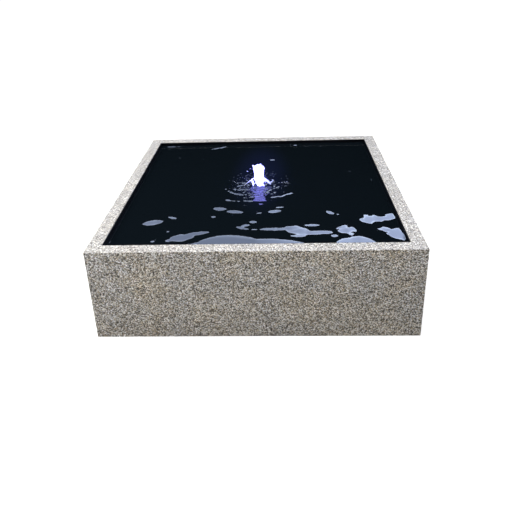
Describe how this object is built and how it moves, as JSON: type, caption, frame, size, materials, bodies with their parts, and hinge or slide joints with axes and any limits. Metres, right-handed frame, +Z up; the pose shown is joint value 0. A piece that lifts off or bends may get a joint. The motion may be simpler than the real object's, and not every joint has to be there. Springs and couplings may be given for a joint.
{
  "type": "water table fountain",
  "caption": "Low square cast basin filled to its flat rim with dark water; a submerged pump sends a lit jet up through a nozzle in the middle.",
  "frame": {"origin": "middle of the basin's footprint, on the ground", "axes": "+Z up; -Y is the front of the picture; the supply lead leaves through the slot at +Y; +X to the right"},
  "size_m": [1, 1, 0.378],
  "materials": {
    "aggregate_concrete": "matte",
    "lining": "satin",
    "black_fitting": "satin",
    "grey_clip": "satin",
    "rubber": "matte",
    "stainless": "satin",
    "lead_sheath": "satin",
    "pump_shell": "satin",
    "laminated_steel": "matte",
    "enamelled_wire": "gloss",
    "resin": "gloss",
    "white_ceramic": "satin",
    "ferrite": "matte",
    "white_plastic": "satin",
    "red_dial": "satin",
    "light_shell": "satin",
    "circuit_board": "satin",
    "emitter": "gloss",
    "lens": "gloss",
    "water": "gloss",
    "lit_water": "gloss"
  },
  "bodies": {
    "basin": {"basin_shell": "aggregate_concrete", "basin_lining": "lining", "drain_body": "black_fitting", "drain_gasket": "rubber", "drain_washer": "rubber", "drain_back_nut": "black_fitting", "gland_body": "black_fitting", "gland_washer": "rubber", "gland_locknut": "black_fitting", "gland_insert": "rubber", "gland_cap": "black_fitting", "coupler_body": "black_fitting", "coupler_saddle": "grey_clip", "saddle_screws": "stainless", "pump_lead": "lead_sheath", "light_lead": "lead_sheath", "lead_clips": "grey_clip", "pump_lead_boot": "rubber", "motor_housing": "pump_shell", "stator_core": "laminated_steel", "left_winding": "enamelled_wire", "right_winding": "enamelled_wire", "potting_resin": "resin", "rotor_shaft": "white_ceramic", "rear_bush": "rubber", "front_bush": "white_ceramic", "chamber_body": "pump_shell", "chamber_seal": "rubber", "chamber_screws": "stainless", "suction_feet": "rubber", "riser_tube": "black_fitting", "grip_ring": "rubber", "pool_water": "water"},
    "rotor": {"rotor_magnet": "ferrite", "impeller": "white_plastic"},
    "intake_cover": {"intake_cover": "pump_shell"},
    "flow_dial": {"flow_dial": "red_dial"},
    "riser_nut": {"riser_nut": "black_fitting"},
    "nozzle_group": {"riser_extension": "black_fitting", "nozzle": "black_fitting", "light_housing": "light_shell", "light_board": "circuit_board", "light_emitters": "emitter", "light_gasket": "rubber", "light_lens": "lens", "light_bezel": "stainless", "light_screws": "stainless", "light_locknut": "black_fitting", "water_jet": "lit_water"},
    "drain_bung": {"drain_bung": "rubber"}
  },
  "joints": [
    {"name": "rotor_spin", "type": "hinge", "parent": "basin", "child": "rotor", "pos_m": [0, 0.03, 0.153], "axis": [0, 1, 0], "continuous": true},
    {"name": "intake_cover_pull", "type": "slide", "parent": "basin", "child": "intake_cover", "axis": [0, -1, 0], "range_m": [0, 0.07], "deforming": ["pool_water"]},
    {"name": "flow_dial_turn", "type": "hinge", "parent": "intake_cover", "child": "flow_dial", "pos_m": [0, -0.0523, 0.153], "axis": [0, 1, 0], "range_deg": [0, 60]},
    {"name": "riser_nut_turn", "type": "hinge", "parent": "basin", "child": "riser_nut", "pos_m": [0, 0, 0.248], "axis": [0, 0, 1], "range_deg": [0, 90]},
    {"name": "nozzle_lift", "type": "slide", "parent": "basin", "child": "nozzle_group", "axis": [0, 0, 1], "range_m": [0, 0.018], "deforming": ["light_lead", "pool_water", "water_jet"]},
    {"name": "drain_bung_pull", "type": "slide", "parent": "basin", "child": "drain_bung", "axis": [0, 0, 1], "range_m": [0, 0.05], "deforming": ["pool_water"]}
  ]
}
